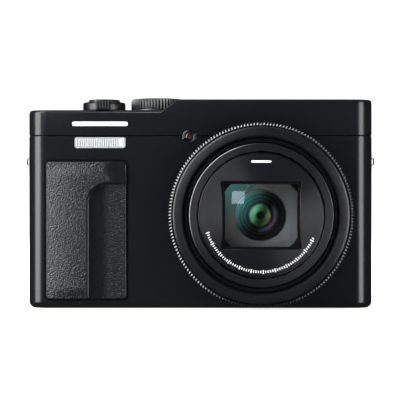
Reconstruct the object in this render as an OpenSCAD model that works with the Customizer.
// Compact digital camera with a retracting zoom lens, a viewfinder hump and a tilting rear screen.
// The origin is the mouth of the tripod socket, in the base plane. +X is the viewer's right when
// facing the lens, the lens looks along -Y, and +Z is up. Every length is in millimetres.

/* [Body] */
// Width of the body across its sides
body_w = 112; // [111:0.5:114]
// Depth of the body without the lens and the screen
body_d = 27; // [26.8:0.1:28]
// Height of the top plate on the grip side
shoulder_h = 64.3; // [64:0.1:65]
// Height of the hump over the lens and the viewfinder
hump_h = 67.8; // [67.5:0.1:68.5]
// Height of the seam between the top cover and the two lower covers
seam_z = 56; // [55.8:0.1:56.2]
// Radius of the vertical corners at the front, seen from above
front_corner_r = 6; // [5:0.5:7]
// Radius of the vertical corners at the rear, seen from above
rear_corner_r = 3.4; // [3:0.1:3.6]
// Radius along the top and bottom edges
edge_r = 2.1; // [1.8:0.1:2.4]
// Thickness of the covers
wall = 1.2; // [1.1:0.1:1.3]

/* [Lens] */
// Distance of the lens axis from the tripod socket
lens_x = 19.35; // [19:0.05:20]
// Height of the lens axis
lens_z = 30.2; // [30.1:0.1:30.5]
// Outer radius of the knurled control ring
ring_r = 29.7; // [29.3:0.1:29.7]
// How far the control ring stands in front of the body
ring_out = 11.5; // [11.4:0.1:11.8]
// Outer radius of the first barrel
barrel_1_r = 23.1; // [23:0.05:23.1]
// Outer radius of the second barrel
barrel_2_r = 20; // [19.95:0.05:20]
// Width of the window in front of the lens
window_w = 25.9; // [25:0.1:26]
// Height of the window in front of the lens
window_h = 21.4; // [21:0.1:21.4]

/* [Controls] */
// Distance of the shutter button from the tripod socket
shutter_x = -31.6; // [-32:0.1:-31]
// Radius of the collar of the zoom lever
collar_r = 7; // [6.8:0.1:7.1]
// Distance of the mode dial from the tripod socket
dial_x = -14.3; // [-14.5:0.1:-14]
// Radius of the mode dial
dial_r = 8.6; // [8.4:0.1:8.6]
// Radius of the ring-shaped rear dial
nav_r = 9.5; // [9:0.1:9.6]

/* [Mounts] */
// Radius of the wall of the quarter-inch tripod thread
tripod_r = 3.175; // [3.1:0.025:3.2]
// Depth of the tripod socket
tripod_depth = 5.5; // [5:0.1:6]

/* [Hidden] */
$fn = 96;

half_w = body_w / 2;
front_y = -body_d / 2;
rear_y = body_d / 2;
// Half of the seam's width
seam = 0.1;
// Gap around a part that moves in an opening
gap = 0.25;
// Running clearance of a shaft in its hole
run = 0.08;
// Where the front cover ends and the rear cover starts
split_y = 6;
// A cut reaches this far past the face that it opens
past = 1;

// The hump rises between these two places
step_x0 = -12;
step_x1 = -7.5;

// Lens: places along Y, from the front to the back
ring_front = front_y - ring_out;
ring_back = front_y - 1.2;
ring_wall_r = 24.85;
sleeve_r = 24.6;
sleeve_bore = 23.4;
sleeve_front = ring_front + 3;
flange_r = 28.6;
cover_hole_r = 25;
spigot_r = cover_hole_r - 0.1;
barrel_1_front = ring_front + 0.7;
barrel_1_back = 0.6;
barrel_1_bore = 21.7;
lip_r = 20.35;
barrel_2_front = ring_front + 0.5;
barrel_2_back = -1.2;
barrel_2_bore = 18.9;
blade_room_r = 19.7;
plate_t = 1.1;
blade_t = 0.35;
blade_pitch = 0.5;
blade_r = 19.55;
blade_low = 10.85;
blades_y = barrel_2_front + 1.3;
seat_y = barrel_2_front + 2.8;
retainer_y = seat_y + 0.1;
lens_r = 13.6;
lens_edge = 3;
// Shoulder that the front lens rests on
lens_seat_y = retainer_y + 2.6 + lens_edge;
housing_r = 25.9;
housing_bore = 25.2;
housing_front = -12.1;
housing_back = 3.4;
cam_r = 25;
cam_bore = 23.4;
cam_front = -11.8;

zoom_group_y = -13;
focus_y = -4;

// Zoom gear train: module 0.5, with narrow teeth for a free mesh
gear_module = 0.5;
cam_teeth = 104;
pinion_teeth = 14;
gear_width = 1.3;
gear_tip = 0.42;
gear_root = 0.55;
gear_y0 = housing_back - 2.55;
cam_pitch_r = gear_module * cam_teeth / 2;
cam_tip_r = cam_pitch_r + gear_tip;
pinion_pitch_r = gear_module * pinion_teeth / 2;
gear_angle = 152;
gear_distance = cam_pitch_r + pinion_pitch_r + 0.02;
gear_x = lens_x + gear_distance * cos(gear_angle);
gear_z = lens_z + gear_distance * sin(gear_angle);

// Grip side: the battery, its case and the door under it
battery_x0 = -48.6;
battery_w = 34;
battery_y0 = -8.6;
battery_t = 9.8;
battery_z0 = 2.2;
battery_h = 43;
case_t = 0.8;
door_x0 = -50.2;
door_x1 = -14.2;
door_y0 = -9.6;
door_y1 = 4.9;
door_t = 1.2;
latch_x = -44;
latch_y = -4;
hinge_r = door_t / 2;

// Top controls
shutter_y = -4.5;
shutter_r = 5.15;
shutter_top = 68;
collar_top = 67.1;
dial_y = -0.5;
dial_top = 68.4;
pocket_r = dial_r + 0.45;
power_at = [-46, 3];
power_r = 3.3;
movie_at = [-37.5, 8.4];
movie_r = 2.2;
lever_hub_r = 2.6;
lever_low = 61.4;
stem_r = 1.5;
dial_shaft_r = 2.2;

// Rear screen and viewfinder
screen_x0 = -18.6;
screen_x1 = 53.4;
screen_z0 = 3.4;
screen_z1 = 52.6;
screen_y0 = 12.3;
screen_y1 = 16.1;
recess_y = 11.3;
recess_wall = 1.4;
screen_hinge_z = 51.2;
screen_hinge_y = 12.7;
arm_hinge_z = 29;
arm_hinge_y = 10.9;
arm_x0 = 2.4;
arm_x1 = 32.4;
barrel_r = 0.8;
trunnion_r = 0.5;
pin_r = 0.3;
eye_x = 40;
eye_z = 61.1;
eye_y1 = 16.4;
diopter_r = 4.6;
diopter_at = [half_w + 0.27 - diopter_r, 53.7];
diopter_y0 = 6.9;
diopter_t = 2.6;

// Rear buttons
nav_at = [-37.5, 21];
set_r = 4.3;
playback_at = [-46.5, 36];
fn_at = [-29, 36];
rear_button_r = 2.6;
nav_hub_r = 6.2;

// Port door in the side
port_y0 = -5;
port_y1 = 4.4;
port_z0 = 32.6;
port_z1 = 43.2;
port_out = 0.27;
port_axis_x = half_w + port_out - door_t / 2;

// Flash and AF lamp
flash_x0 = -40.9;
flash_x1 = -24.2;
flash_z0 = 51.9;
flash_z1 = 55.5;
lamp_at = [-3.6, 55.7];
lamp_r = 2.2;

// Grip pad
grip_x0 = -50.2;
grip_x1 = -23.8;
grip_z0 = 2.9;
grip_z1 = 47.8;
grip_base_t = 0.8;
grip_t = 3.2;
recess_x = -36.4;
recess_top_z = 40.6;

// Strap lugs
lug_y = -2;
lug_z = 47.7;
lug_half_h = [5, 3.6];
lug_foot_r = 1.2;
lug_reach = 1.3;

// Chassis and the screws that hold the covers to it
chassis_x0 = -12.8;
chassis_x1 = 50;
chassis_y0 = 4.5;
chassis_z0 = 1.4;
base_screws = [[-10.5, -5], [16, -5], [46, -5], [-6, 8.4], [46, 8.4]];

// ---------------------------------------------------------------- helpers

// A flat shape in X and Z, as a slab between two places along Y
module along_y(y0, y1) {
    translate([0, y1, 0]) rotate([90, 0, 0]) linear_extrude(y1 - y0) children();
}

// A flat shape in Y and Z, as a slab between two places along X
module along_x(x0, x1) {
    translate([x0, 0, 0]) rotate([90, 0, 90]) linear_extrude(x1 - x0) children();
}

// A flat shape in X and Y, as a slab between two heights
module along_z(z0, z1) {
    translate([0, 0, z0]) linear_extrude(z1 - z0) children();
}

// Box between two corners
module box(low, high) {
    translate(low) cube(high - low);
}

// Rectangle with corners of radius r
module round_rect(x0, y0, x1, y1, r) {
    translate([x0 + r, y0]) square([x1 - x0 - 2 * r, y1 - y0]);
    translate([x0, y0 + r]) square([x1 - x0, y1 - y0 - 2 * r]);
    for (x = [x0 + r, x1 - r], y = [y0 + r, y1 - r]) translate([x, y]) circle(r);
}

// Cylinder along Y at (x, z)
module pin_y(x, z, r, y0, y1) {
    translate([x, y1, z]) rotate([90, 0, 0]) cylinder(r = r, h = y1 - y0);
}

// Tube along Y at (x, z)
module tube_y(x, z, r, bore, y0, y1) {
    difference() {
        pin_y(x, z, r, y0, y1);
        pin_y(x, z, bore, y0 - past, y1 + past);
    }
}

// Cylinder along Z at [x, y]
module pin_z(at, r, z0, z1) {
    translate([at[0], at[1], z0]) cylinder(r = r, h = z1 - z0);
}

// ---------------------------------------------------------------- body shells

// Plan of the body, drawn in by inset all round
module plan(inset) {
    x = half_w - inset;
    round_rect(-x, front_y + inset, x, rear_y - inset - rear_corner_r, front_corner_r - inset);
    round_rect(-x, -inset, x, rear_y - inset, rear_corner_r - inset);
}

// The body up to one height, drawn in by inset all round
module slab(top, inset) {
    r = edge_r - inset;
    intersection() {
        along_z(inset, top - inset) plan(inset);
        along_y(front_y, rear_y) round_rect(inset - half_w, inset, half_w - inset, top - inset, r);
        along_x(-half_w, half_w) round_rect(front_y + inset, inset, rear_y - inset, top - inset, r);
    }
}

// The hump's side of its slanted step, drawn in by inset
module hump_side(inset) {
    along_y(front_y - past, rear_y + past)
        translate([inset, 0]) polygon([
            [step_x0, 0], [step_x0, shoulder_h], [step_x1, hump_h],
            [half_w + past, hump_h], [half_w + past, 0]
        ]);
}

// Outer form of the whole body, or its hollow when drawn in
module form(inset) {
    slab(shoulder_h, inset);
    intersection() {
        slab(hump_h, inset);
        hump_side(inset);
    }
}

// Walls of the body
module shell() {
    difference() {
        form(0);
        form(wall);
    }
}

// Opening of the flash and of the AF lamp, which both reach the seam
module front_openings(extra) {
    along_y(front_y - past, front_y + wall + past)
        round_rect(flash_x0 - extra, flash_z0 - extra, flash_x1 + extra, flash_z1 + extra, 0.9);
    pin_y(lamp_at[0], lamp_at[1], lamp_r + extra, front_y - past, front_y + wall + past);
}

module front_cover() color([0.12, 0.125, 0.13]) {
    difference() {
        shell();
        box([-half_w - past, -half_w, seam_z - seam], [half_w + past, half_w, hump_h + past]);
        box([-half_w - past, split_y, -past], [half_w + past, rear_y + past, hump_h]);
        pin_y(lens_x, lens_z, cover_hole_r, front_y - past, front_y + wall + past);
        front_openings(0.1);
        pin_z([0, 0], 4.6, -past, wall + past);
        for (at = base_screws) if (at[1] < split_y) pin_z(at, 1.4, -past, wall + past);
        box([door_x0 - gap, door_y0 - gap, -past], [door_x1 + hinge_r + gap, door_y1 + gap, wall + past]);
        box([half_w - wall - past, port_y0 - gap, port_z0 - gap],
            [half_w + past, port_y1 + gap + hinge_r, port_z1 + gap]);
        for (side = [-1, 1]) lug_seat(side);
        grip_groove();
        pin_y(door_x1, hinge_r, pin_r + 0.02, door_y0 - 1.1, door_y1 + past);
        pin_z([port_axis_x, port_y1], pin_r + 0.02, port_z0 - 1.1, port_z1 + 1.1);
    }
}

// Groove around the grip pad, in the face of the front cover
module grip_groove() {
    along_y(front_y - past, front_y + 0.4) difference() {
        round_rect(grip_x0 - 0.35, grip_z0 - 0.35, grip_x1 + 0.35, grip_z1 + 0.35, 1.6);
        round_rect(grip_x0 + 0.5, grip_z0 + 0.5, grip_x1 - 0.5, grip_z1 - 0.5, 0.9);
    }
}

module rear_cover() color([0.12, 0.125, 0.13]) {
    difference() {
        union() {
            shell();
            // Floor of the recess that holds the screen
            box([screen_x0 - 1.6, recess_y - recess_wall, screen_z0 - 1.6],
                [half_w - wall / 2, rear_y - wall / 2, seam_z - seam]);
        }
        box([-half_w - past, front_y - past, -past], [half_w + past, split_y + 2 * seam, hump_h + past]);
        box([-half_w - past, 0, seam_z - seam], [half_w + past, rear_y + past, hump_h + past]);
        // Recess for the screen, open at the back
        box([screen_x0 - 0.4, recess_y, screen_z0 - 0.4], [screen_x1 + 0.4, rear_y + past, 54.6]);
        rear_button_hole(playback_at);
        rear_button_hole(fn_at);
        pin_y(nav_at[0], nav_at[1], nav_hub_r + 0.2, 8, rear_y + past);
        pin_y(nav_at[0], nav_at[1], nav_r + 0.3, rear_y - 0.4, rear_y + past);
        diopter_slot();
        for (at = base_screws) if (at[1] > split_y) pin_z(at, 1.4, -past, wall + past);
        arm_hinge_room();
    }
}

// Room in the floor of the recess for the two hinges of the screen
module arm_hinge_room() {
    box([arm_x0 - 0.5, 8, arm_hinge_z - 2.2], [arm_x1 + 0.5, rear_y, arm_hinge_z + 2.2]);
    along_x(arm_x0 - 1.9, arm_x1 + 1.9) translate([arm_hinge_y, arm_hinge_z]) circle(pin_r + 0.02);
}

// Slot in the side that the diopter dial shows through
module diopter_slot() {
    pin_y(diopter_at[0], diopter_at[1], diopter_r + gap, diopter_y0 - gap, diopter_y0 + diopter_t + gap);
}

module rear_button_hole(at) {
    pin_y(at[0], at[1], rear_button_r + 0.2, 8, rear_y + past);
}

// Well in the hump that the mode dial turns in
module dial_well(r, z0) {
    pin_z([dial_x, dial_y], r, z0, hump_h + past);
}

module top_cover() color([0.12, 0.125, 0.13]) {
    difference() {
        form(0);
        difference() {
            form(wall);
            dial_well(pocket_r + wall, shoulder_h - wall);
        }
        box([-half_w - past, front_y - past, -past], [half_w + past, rear_y + past, seam_z + seam]);
        dial_well(pocket_r, shoulder_h);
        front_openings(0.1);
        pin_z([dial_x, dial_y], dial_shaft_r + run, 50, hump_h);
        pin_z([shutter_x, shutter_y], lever_hub_r + run, 50, hump_h);
        pin_z(power_at, power_r + 0.2, 50, hump_h);
        pin_z(movie_at, movie_r + 0.2, 50, hump_h);
        // Opening of the viewfinder at the back
        box([eye_x - 7.2, rear_y - wall - past, eye_z - 3.9], [eye_x + 7.2, rear_y + past, eye_z + 3.9]);
        diopter_slot();
        // Two small holes over the microphones
        for (x = [8, 20]) pin_z([x, -3], 0.5, 60, hump_h + past);
    }
}

// ---------------------------------------------------------------- outside trim

// Outline of a strap lug's plate, as a flat shape in Y and Z about the lug, drawn in by inset
module lug_outline(side, inset) {
    h = lug_half_h[side > 0 ? 1 : 0] - inset;
    round_rect(inset - 3, -h, 3 - inset, h, lug_foot_r);
}

// Shallow seat for a strap lug's plate, in one side of the front cover
module lug_seat(side) {
    mirror([side > 0 ? 0 : 1, 0, 0]) translate([half_w, lug_y, lug_z])
        along_x(-0.5, past) lug_outline(side, 0);
}

module grip_pad() color([0.27, 0.27, 0.29]) {
    along_y(front_y - grip_base_t, front_y) round_rect(grip_x0, grip_z0, grip_x1, grip_z1, 1.3);
    // Raised palm side and top band around the finger recess
    along_y(front_y - grip_t, front_y - grip_base_t) difference() {
        round_rect(grip_x0 + 0.6, grip_z0 + 0.6, grip_x1 - 0.6, grip_z1 - 0.6, 1.3);
        round_rect(recess_x, grip_z0 - 9, grip_x1 + 9, recess_top_z, 7);
    }
}

module thumb_rest() color([0.2, 0.2, 0.21]) {
    along_y(rear_y, rear_y + 1.6) difference() {
        round_rect(-51.5, 41, -24, 52.5, 2.4);
        round_rect(-53, 37, -38, 46.5, 3);
    }
    along_y(rear_y, rear_y + 0.6) round_rect(-51.3, 41.2, -38, 50, 2);
}

module strap_lugs() color([0.75, 0.76, 0.78]) {
    for (side = [-1, 1]) mirror([side > 0 ? 0 : 1, 0, 0]) translate([half_w, lug_y, lug_z]) {
        // Plate let into the side
        along_x(-0.4, 0.3) lug_outline(side, 0.1);
        // Upright loop that the strap's cord goes through, from front to rear
        along_y(-1.1, 1.1) difference() {
            round_rect(-0.3, -1.2, lug_reach, 1.2, 0.4);
            round_rect(0.3, -0.85, lug_reach - 0.35, 0.85, 0.2);
        }
    }
}

module flash_window() color([0.86, 0.88, 0.9]) {
    along_y(front_y - 0.05, front_y + 1.3) round_rect(flash_x0, flash_z0, flash_x1, flash_z1, 0.8);
}

module flash_reflector() color([0.8, 0.8, 0.82]) {
    difference() {
        box([flash_x0 + 0.4, front_y + 1.5, flash_z0 + 0.1], [flash_x1 - 0.4, front_y + 6, flash_z1 + 0.3]);
        box([flash_x0 + 1, front_y, flash_z0 + 0.6], [flash_x1 - 1, front_y + 5.4, flash_z1 - 0.2]);
    }
    // Xenon tube with its two ends through the reflector's sides
    translate([flash_x0 - 1.2, front_y + 4.2, (flash_z0 + flash_z1) / 2 + 0.2])
        rotate([0, 90, 0]) cylinder(r = 0.7, h = flash_x1 - flash_x0 + 2.4);
}

module flash_capacitor() color([0.15, 0.15, 0.2]) {
    translate([-48.5, -1, 50.4]) rotate([0, 90, 0]) cylinder(r = 3.7, h = 26);
}

module af_lamp_bezel() color([0.05, 0.05, 0.05]) {
    tube_y(lamp_at[0], lamp_at[1], lamp_r, 1.4, front_y - 0.15, front_y + 1.2);
}

module af_lamp_lens() color([0.45, 0.2, 0.12]) {
    pin_y(lamp_at[0], lamp_at[1], 1.35, front_y + 0.3, front_y + 1.2);
}

module tripod_socket() color([0.75, 0.75, 0.75]) {
    difference() {
        union() {
            pin_z([0, 0], 4.5, 0, chassis_z0);
            pin_z([0, 0], 4.2, chassis_z0, tripod_depth + 1);
        }
        pin_z([0, 0], tripod_r, -past, tripod_depth);
    }
}

// Countersunk screws that hold the covers to the chassis
module cover_screws() color([0.35, 0.35, 0.36]) {
    for (at = base_screws) difference() {
        union() {
            pin_z(at, 1.3, 0.1, 1.1);
            pin_z(at, 0.75, 1, 3.4);
        }
        // Cross recess in the head
        for (turn = [0, 90]) translate([at[0], at[1], 0.1]) rotate(turn)
            cube([1.5, 0.35, 0.9], center = true);
    }
}

// ---------------------------------------------------------------- inside the body

module chassis() color([0.55, 0.56, 0.58]) {
    difference() {
        union() {
            // Upright plate behind the lens
            box([chassis_x0, chassis_y0, chassis_z0], [chassis_x1, chassis_y0 + 0.8, 54]);
            // Foot with the tripod socket, and a lip behind it for the rear cover's screws
            box([chassis_x0, -8, chassis_z0], [chassis_x1, chassis_y0 + 5.4, chassis_z0 + 1]);
        }
        box([lens_x - 12, chassis_y0 - past, lens_z - 10], [lens_x + 12, chassis_y0 + 2, lens_z + 10]);
        pin_z([0, 0], 4.3, 0, 5);
        for (at = base_screws) pin_z(at, 0.8, 0, 5);
    }
}

module lens_housing() color([0.16, 0.16, 0.17]) {
    difference() {
        union() {
            pin_y(lens_x, lens_z, housing_r, housing_front, housing_back - 2.9);
            // Base plate that closes the back and carries the sensor
            pin_y(lens_x, lens_z, housing_r + 0.2, housing_back - 0.9, housing_back);
            // Posts between the tube and the base plate, clear of the zoom gear
            for (turn = [30, 210, 300])
                pin_y(lens_x + 26.3 * cos(turn), lens_z + 26.3 * sin(turn), 1.1, -2, housing_back);
        }
        pin_y(lens_x, lens_z, housing_bore, housing_front - past, housing_back - 0.9);
        for (turn = [30, 210, 300])
            pin_y(lens_x, lens_z, cam_tip_r + 0.2, housing_back - 2.9, housing_back - 0.9);
        box([lens_x - 6.5, 0, lens_z - 5.5], [lens_x + 6.5, housing_back + past, lens_z + 5.5]);
    }
}

module image_sensor() color([0.15, 0.25, 0.2]) {
    // Cover glass and package in the window of the base plate, on their board
    box([lens_x - 6.3, housing_back - 1, lens_z - 5.3], [lens_x + 6.3, housing_back, lens_z + 5.3]);
    box([lens_x - 11, housing_back, lens_z - 9], [lens_x + 11, housing_back + 0.8, lens_z + 9]);
}

module zoom_motor() color([0.7, 0.7, 0.72]) {
    pin_y(gear_x, gear_z, 2.45, -11.5, gear_y0 - 0.3);
    // Shaft that the gear turns with
    pin_y(gear_x, gear_z, 0.5, gear_y0 - 0.3, gear_y0 - 0.1);
}

module viewfinder_module() color([0.1, 0.1, 0.11]) {
    difference() {
        box([31, -3, 56.7], [46.4, rear_y - wall - 0.2, 66.3]);
        // Light path from the display to the eyepiece
        pin_y(eye_x, eye_z, 3.3, -1.5, rear_y + past);
    }
    // Display and its back light at the inner end
    box([eye_x - 3, -1.5, eye_z - 1.9], [eye_x + 3, 0.5, eye_z + 1.9]);
}

module eyepiece_lens() color([0.75, 0.8, 0.85]) {
    intersection() {
        along_y(rear_y + 0.1, rear_y + 1.7)
            round_rect(eye_x - 6.8, eye_z - 3.5, eye_x + 6.8, eye_z + 3.5, 1.5);
        translate([eye_x, rear_y - 28.4, eye_z]) sphere(r = 30, $fn = 240);
    }
}

module eye_cup() color([0.08, 0.08, 0.08]) {
    difference() {
        along_y(rear_y, eye_y1) round_rect(eye_x - 10.4, eye_z - 5.6, eye_x + 10.4, eye_z + 5.6, 2.4);
        along_y(rear_y - past, eye_y1 + past) round_rect(eye_x - 7, eye_z - 3.7, eye_x + 7, eye_z + 3.7, 1.6);
    }
}

module main_board() color([0.1, 0.35, 0.2]) {
    difference() {
        box([-50, 7.2, 4], [45, 8, 54]);
        box([arm_x0 - 1, 7, arm_hinge_z - 3], [arm_x1 + 1, 9, arm_hinge_z + 3]);
        pin_y(nav_at[0], nav_at[1], 3, 7, 9);
    }
    // Processor and memory
    for (chip = [[-8, 40], [28, 44], [28, 12]]) box([chip[0], 8, chip[1]], [chip[0] + 9, 9, chip[1] + 7]);
}

module battery() color([0.2, 0.2, 0.22]) {
    corner = [battery_x0, battery_y0, battery_z0];
    box(corner, corner + [battery_w, battery_t, battery_h]);
}

module battery_case() color([0.3, 0.3, 0.32]) {
    clearance = 0.2;
    low = [battery_x0 - clearance, battery_y0 - clearance, wall + 0.3];
    high = [battery_x0 + battery_w, battery_y0 + battery_t, battery_z0 + battery_h]
        + [clearance, clearance, clearance];
    edge = [case_t, case_t, 0];
    difference() {
        box(low - edge, high + edge + [0, 0, case_t]);
        box(low - [0, 0, past], high);
    }
}

module memory_card() color([0.1, 0.15, 0.4]) {
    box([-44, 2.7, 3], [-20, 4.8, 35]);
}

// Metal shell of a socket on the side, open towards +X
module socket_shell(z0, height, width) {
    centre = [(port_y0 + port_y1) / 2, z0 + height / 2];
    difference() {
        along_x(47, 53.6) translate(centre) square([width, height], center = true);
        along_x(48, 55) translate(centre) square([width - 0.6, height - 0.6], center = true);
    }
}

module usb_port() color([0.75, 0.75, 0.77]) {
    socket_shell(port_z0 + 1, 2.8, 7.6);
}

module hdmi_port() color([0.75, 0.75, 0.77]) {
    socket_shell(port_z0 + 5.8, 3.3, 6.6);
}

// ---------------------------------------------------------------- lens

// Solid of revolution about the lens axis: the points are [radius, place along Y]
module turned(points) {
    translate([lens_x, 0, lens_z]) rotate([-90, 0, 0]) rotate_extrude() polygon(points);
}

// Ring of revolution with a rectangular section
module ring_y(r, bore, y0, y1) {
    tube_y(lens_x, lens_z, r, bore, y0, y1);
}

module lens_mount_ring() color([0.08, 0.08, 0.085]) {
    turned([
        [sleeve_bore, sleeve_front], [sleeve_r, sleeve_front], [sleeve_r, front_y - 0.9],
        [flange_r, front_y - 0.9], [flange_r, front_y], [spigot_r, front_y],
        [spigot_r, front_y + 1], [sleeve_bore, front_y + 1]
    ]);
}

module control_ring() color([0.07, 0.07, 0.075]) {
    turned([
        [ring_wall_r, ring_back], [ring_wall_r, ring_front + 2.2], [25.1, ring_front],
        [27.4, ring_front + 0.2], [28.4, ring_front + 0.9], [28.6, ring_front + 1.6],
        [ring_r - 0.4, ring_front + 1.9], [ring_r, ring_front + 2.4],
        [ring_r, ring_back - 0.5], [ring_r - 0.5, ring_back]
    ]);
}

// Round gear about the Y axis, with straight-sided teeth
module gear_outline(teeth) {
    pitch_r = gear_module * teeth / 2;
    tip = pitch_r + gear_tip;
    root = pitch_r - gear_root;
    step = 360 / teeth;
    half_tip = 0.1 / tip * 180 / PI;
    half_root = 0.4 / root * 180 / PI;
    polygon([for (i = [0 : teeth - 1], p = [
        [root, -half_root], [tip, -half_tip], [tip, half_tip], [root, half_root]
    ]) p[0] * [cos(i * step + p[1]), sin(i * step + p[1])]]);
}

module cam_ring() color([0.6, 0.6, 0.62]) {
    difference() {
        union() {
            pin_y(lens_x, lens_z, cam_r, cam_front, gear_y0);
            along_y(gear_y0, gear_y0 + gear_width)
                translate([lens_x, lens_z]) rotate(gear_angle) gear_outline(cam_teeth);
        }
        pin_y(lens_x, lens_z, cam_bore, cam_front - past, housing_back);
    }
}

module zoom_gear() color([0.8, 0.72, 0.5]) {
    difference() {
        along_y(gear_y0, gear_y0 + gear_width) translate([gear_x, gear_z])
            rotate(gear_angle + 180 + 180 / pinion_teeth) gear_outline(pinion_teeth);
        pin_y(gear_x, gear_z, 0.6, gear_y0 - past, gear_y0 + 3);
    }
}

module barrel_1() color([0.07, 0.07, 0.075]) {
    turned([
        [lip_r, barrel_1_front], [barrel_1_r - 0.4, barrel_1_front], [barrel_1_r, barrel_1_front + 0.4],
        [barrel_1_r, barrel_1_back], [barrel_1_bore, barrel_1_back],
        [barrel_1_bore, barrel_1_front + 1.6], [lip_r, barrel_1_front + 1.4]
    ]);
}

module barrel_2() color([0.07, 0.07, 0.075]) {
    turned([
        [blade_room_r, barrel_2_front], [barrel_2_r - 0.2, barrel_2_front],
        [barrel_2_r, barrel_2_front + 0.2], [barrel_2_r, barrel_2_back],
        [barrel_2_bore, barrel_2_back], [barrel_2_bore, seat_y], [blade_room_r, seat_y]
    ]);
}

module front_plate() color([0.04, 0.04, 0.045]) {
    difference() {
        pin_y(lens_x, lens_z, blade_room_r, barrel_2_front + 0.1, barrel_2_front + 0.1 + plate_t);
        along_y(barrel_2_front - past, barrel_2_front + 3) translate([lens_x, lens_z])
            round_rect(-window_w / 2, -window_h / 2, window_w / 2, window_h / 2, 0.9);
    }
}

// One blade of the lens barrier: a slice of a disc beside the window.
// layer 0 is the foremost, and side is 1 above the window and -1 below it.
module barrier_blade(layer, side) color([0.05, 0.05, 0.05]) {
    y0 = blades_y + layer * blade_pitch;
    z0 = side > 0 ? blade_low : -blade_r;
    translate([lens_x, 0, lens_z]) intersection() {
        pin_y(0, 0, blade_r, y0, y0 + blade_t);
        box([-blade_r, y0, z0], [blade_r, y0 + blade_t, z0 + blade_r - blade_low]);
    }
}

module lens_retainer() color([0.05, 0.05, 0.055]) {
    turned([
        [lens_r + 0.05, retainer_y], [barrel_2_bore - 0.1, retainer_y], [barrel_2_bore - 0.1, retainer_y + 7],
        [lens_r - 1.2, retainer_y + 7], [lens_r - 1.2, lens_seat_y], [lens_r + 0.05, lens_seat_y]
    ]);
}

module front_lens() color([0.5, 0.65, 0.62]) {
    crown_r = 38;
    edge_y = retainer_y + 2.6;
    sag = crown_r - sqrt(crown_r * crown_r - lens_r * lens_r);
    translate([lens_x, 0, lens_z]) intersection() {
        pin_y(0, 0, lens_r, edge_y - sag, lens_seat_y - 0.02);
        translate([0, edge_y - sag + crown_r, 0]) sphere(r = crown_r);
    }
}

module zoom_lens_group() color([0.3, 0.35, 0.4]) {
    ring_y(barrel_1_bore - 3.2, 8.2, zoom_group_y, zoom_group_y + 1.5);
    ring_y(9.4, 8.05, zoom_group_y - 2, zoom_group_y);
    pin_y(lens_x, lens_z, 8.2, zoom_group_y - 0.5, zoom_group_y + 3);
}

module focus_lens() color([0.35, 0.4, 0.4]) {
    ring_y(9.5, 6.2, focus_y, focus_y + 1.4);
    pin_y(lens_x, lens_z, 6.2, focus_y - 0.6, focus_y + 1.6);
}

// ---------------------------------------------------------------- top controls

module zoom_lever() color([0.1, 0.1, 0.105]) {
    difference() {
        union() {
            pin_z([shutter_x, shutter_y], collar_r, shoulder_h + 0.3, collar_top);
            // Hub through the top cover, with a flange that holds it from inside
            pin_z([shutter_x, shutter_y], lever_hub_r, lever_low, shoulder_h + 0.3);
            pin_z([shutter_x, shutter_y], lever_hub_r + 1.2, lever_low, lever_low + 0.9);
            // Finger tab at the front, with five ribs
            box([shutter_x - 2.2, shutter_y - collar_r - 2.2, shoulder_h + 0.6],
                [shutter_x + 2.2, shutter_y - collar_r + 1.2, collar_top + 0.3]);
            for (rib = [-2 : 2])
                box([shutter_x + rib * 0.86 - 0.25, shutter_y - collar_r - 2.5, shoulder_h + 0.8],
                    [shutter_x + rib * 0.86 + 0.25, shutter_y - collar_r - 2, collar_top + 0.2]);
        }
        pin_z([shutter_x, shutter_y], shutter_r + 0.2, shoulder_h + 1, hump_h + past);
        pin_z([shutter_x, shutter_y], stem_r + run, lever_low - past, hump_h);
    }
}

module shutter_button() color([0.16, 0.16, 0.165]) {
    pin_z([shutter_x, shutter_y], shutter_r, shutter_top - 1.4, shutter_top);
    pin_z([shutter_x, shutter_y], stem_r, lever_low - 1.2, shutter_top - 1);
}

module mode_dial() color([0.1, 0.1, 0.105]) {
    ribs = 42;
    difference() {
        pin_z([dial_x, dial_y], dial_r, shoulder_h + 0.3, dial_top);
        // Grooves of the knurl
        for (i = [0 : ribs - 1]) translate([dial_x, dial_y, 0]) rotate(i * 360 / ribs)
            pin_z([dial_r + 0.15, 0], 0.4, shoulder_h + 0.9, dial_top - 0.5);
    }
    pin_z([dial_x, dial_y], dial_shaft_r, 60.5, shoulder_h + 0.4);
    pin_z([dial_x, dial_y], dial_shaft_r + 1.2, 60.5, 62.6);
}

// Button through the top cover: a cap, and a flange that stops it from inside
module top_button(at, r) {
    pin_z(at, r, 61.6, shoulder_h + 0.6);
    pin_z(at, r + 0.7, 61.6, shoulder_h - wall - 0.3);
}

module power_button() color([0.2, 0.2, 0.205]) {
    top_button(power_at, power_r);
}

module movie_button() color([0.35, 0.12, 0.12]) {
    top_button(movie_at, movie_r);
}

// ---------------------------------------------------------------- rear controls

// Button through the rear cover
module rear_button(at, r) {
    pin_y(at[0], at[1], r, rear_y - wall - 1.2, rear_y + 0.7);
    pin_y(at[0], at[1], r + 0.7, rear_y - wall - 1.2, rear_y - wall - 0.3);
}

module playback_button() color([0.2, 0.2, 0.205]) {
    rear_button(playback_at, rear_button_r);
}

module fn_button() color([0.2, 0.2, 0.205]) {
    rear_button(fn_at, rear_button_r);
}

module nav_dial() color([0.13, 0.13, 0.135]) {
    difference() {
        union() {
            pin_y(nav_at[0], nav_at[1], nav_r, rear_y - 0.2, rear_y + 1.1);
            pin_y(nav_at[0], nav_at[1], nav_hub_r, rear_y - wall - 1.3, rear_y - 0.1);
            pin_y(nav_at[0], nav_at[1], nav_hub_r + 1, rear_y - wall - 1.3, rear_y - wall - 0.3);
        }
        pin_y(nav_at[0], nav_at[1], set_r + 0.25, 8, rear_y + 2);
    }
}

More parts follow.
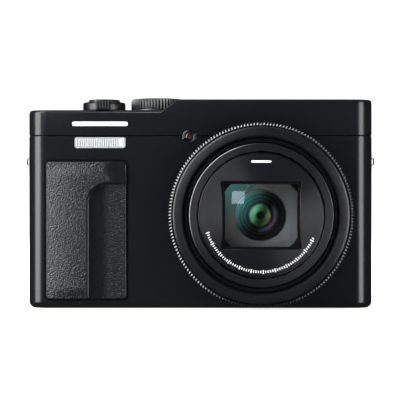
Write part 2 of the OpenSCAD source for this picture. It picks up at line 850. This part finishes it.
module set_button() color([0.2, 0.2, 0.205]) {
    pin_y(nav_at[0], nav_at[1], set_r, rear_y - wall - 1.3, rear_y + 0.9);
}

module diopter_dial() color([0.1, 0.1, 0.1]) {
    ribs = 30;
    difference() {
        pin_y(diopter_at[0], diopter_at[1], diopter_r, diopter_y0, diopter_y0 + diopter_t);
        for (i = [0 : ribs - 1]) translate([diopter_at[0], 0, diopter_at[1]]) rotate([0, i * 360 / ribs, 0])
            pin_y(diopter_r + 0.15, 0, 0.3, diopter_y0 + 0.3, diopter_y0 + diopter_t - 0.3);
    }
}

// ---------------------------------------------------------------- screen

module lcd_arm() color([0.4, 0.4, 0.42]) {
    difference() {
        union() {
            // Plate between the two hinge barrels
            box([arm_x0, arm_hinge_y + 0.55, arm_hinge_z], [arm_x1, arm_hinge_y + 1.05, screen_hinge_z]);
            along_x(arm_x0, arm_x1) translate([arm_hinge_y, arm_hinge_z]) circle(barrel_r);
            along_x(arm_x0, arm_x1) translate([screen_hinge_y, screen_hinge_z]) circle(barrel_r + 0.1);
            // Trunnions that the screen turns on
            along_x(arm_x0 - 2, arm_x1 + 2) translate([screen_hinge_y, screen_hinge_z]) circle(trunnion_r);
        }
        along_x(arm_x0 - past, arm_x1 + past) translate([arm_hinge_y, arm_hinge_z]) circle(pin_r + run);
    }
}

module lcd_housing() color([0.1, 0.1, 0.105]) {
    notch = [arm_x0 - 0.4, screen_y0 - past];
    notch_x1 = arm_x1 + 0.4;
    notch_z1 = screen_z1 + past;
    difference() {
        along_y(screen_y0, screen_y1) round_rect(screen_x0, screen_z0, screen_x1, screen_z1, 2);
        // Seat of the panel
        along_y(screen_y1 - 2, screen_y1 + past)
            round_rect(screen_x0 + 2, screen_z0 + 2.6, screen_x1 - 2, screen_z1 - 2.6, 1);
        // Notch for the barrel of the arm
        box([each notch, screen_hinge_z - 1.3], [notch_x1, screen_hinge_y + 1.3, notch_z1]);
        box([each notch, screen_hinge_z - 0.4], [notch_x1, screen_hinge_y + 2.3, notch_z1]);
        along_x(arm_x0 - 2.3, arm_x1 + 2.3)
            translate([screen_hinge_y, screen_hinge_z]) circle(trunnion_r + run);
    }
}

module lcd_panel() color([0.03, 0.03, 0.035]) {
    along_y(screen_y1 - 1.9, screen_y1 - 0.1)
        round_rect(screen_x0 + 2.1, screen_z0 + 2.7, screen_x1 - 2.1, screen_z1 - 2.7, 0.9);
}

module hinge_pins() color([0.75, 0.75, 0.77]) {
    along_x(arm_x0 - 1.8, arm_x1 + 1.8) translate([arm_hinge_y, arm_hinge_z]) circle(pin_r);
    pin_y(door_x1, hinge_r, pin_r, door_y0 - 1, door_y1 + 0.9);
    pin_z([port_axis_x, port_y1], pin_r, port_z0 - 1, port_z1 + 1);
}

// ---------------------------------------------------------------- doors

module battery_door() color([0.12, 0.125, 0.13]) {
    difference() {
        union() {
            box([door_x0, door_y0, 0], [door_x1, door_y1, door_t]);
            pin_y(door_x1, hinge_r, hinge_r, door_y0, door_y1);
        }
        pin_y(door_x1, hinge_r, pin_r + run, door_y0 - past, door_y1 + past);
        // Slot that the latch slides in
        box([latch_x - 3.7, latch_y - 1.7, -past], [latch_x + 5.7, latch_y + 1.7, door_t + past]);
    }
}

module battery_latch() color([0.25, 0.25, 0.26]) {
    difference() {
        box([latch_x - 3.4, latch_y - 1.4, 0.1], [latch_x + 3.4, latch_y + 1.4, door_t + 0.3]);
        // Finger grooves
        for (x = [-2 : 2]) box([latch_x + x * 1.2 - 0.2, latch_y - 2, 0], [latch_x + x * 1.2 + 0.2, latch_y + 2, 0.3]);
    }
    // Plate that holds it against the inside of the door
    box([latch_x - 3.4, latch_y - 2.8, door_t + 0.1], [latch_x + 3.4, latch_y + 2.8, door_t + 0.6]);
}

module port_door() color([0.12, 0.125, 0.13]) {
    difference() {
        union() {
            box([port_axis_x - hinge_r, port_y0, port_z0], [port_axis_x + hinge_r, port_y1, port_z1]);
            pin_z([port_axis_x, port_y1], hinge_r, port_z0, port_z1);
        }
        pin_z([port_axis_x, port_y1], pin_r + run, port_z0 - past, port_z1 + past);
    }
}

// ---------------------------------------------------------------- the pieces

front_cover();
rear_cover();
top_cover();
chassis();
grip_pad();
thumb_rest();
strap_lugs();
flash_window();
flash_reflector();
flash_capacitor();
af_lamp_bezel();
af_lamp_lens();
tripod_socket();
cover_screws();
lens_mount_ring();
lens_housing();
image_sensor();
zoom_motor();
viewfinder_module();
eyepiece_lens();
eye_cup();
main_board();
battery();
battery_case();
memory_card();
usb_port();
hdmi_port();
cam_ring();
barrel_1();
barrel_2();
front_plate();
front_lens();
lens_retainer();
barrier_blade(2, 1);  // blade_upper_inner
barrier_blade(1, 1);  // blade_upper_middle
barrier_blade(0, 1);  // blade_upper_outer
barrier_blade(2, -1);  // blade_lower_inner
barrier_blade(1, -1);  // blade_lower_middle
barrier_blade(0, -1);  // blade_lower_outer
zoom_lens_group();
focus_lens();
zoom_gear();
control_ring();
zoom_lever();
shutter_button();
mode_dial();
power_button();
movie_button();
diopter_dial();
lcd_arm();
lcd_housing();
lcd_panel();
hinge_pins();
battery_door();
battery_latch();
port_door();
nav_dial();
set_button();
playback_button();
fn_button();
